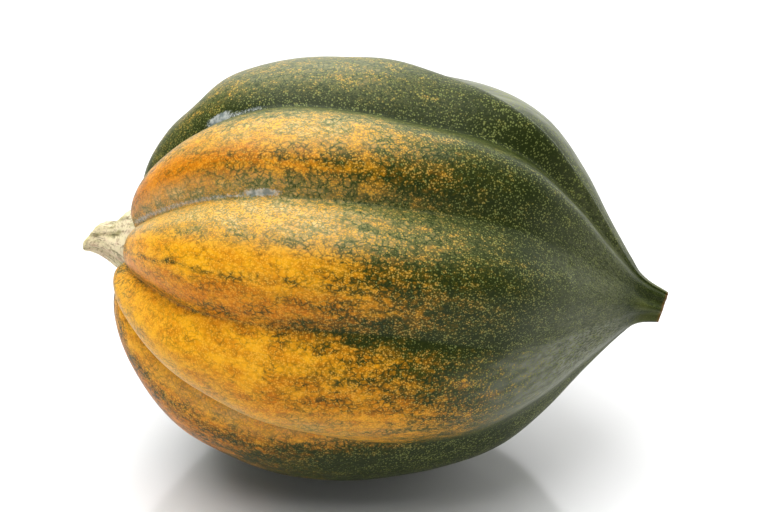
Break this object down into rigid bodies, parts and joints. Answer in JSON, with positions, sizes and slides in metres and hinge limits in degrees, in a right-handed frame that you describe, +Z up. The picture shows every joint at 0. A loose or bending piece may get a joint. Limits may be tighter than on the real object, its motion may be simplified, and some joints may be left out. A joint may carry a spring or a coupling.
{
  "type": "acorn squash",
  "caption": "Whole ribbed acorn squash with a dried stem and a drawn-out blossom tip, lying on its side.",
  "frame": {"origin": "bottom centre of the bounding box, on the surface that the squash lies on", "axes": "+X along the squash towards its blossom tip, +Z up"},
  "size_m": [0.1602, 0.116, 0.1154],
  "materials": {
    "rind": "satin",
    "dry_stem": "matte"
  },
  "bodies": {
    "root": {"fruit": "rind", "stem": "dry_stem"}
  },
  "joints": []
}
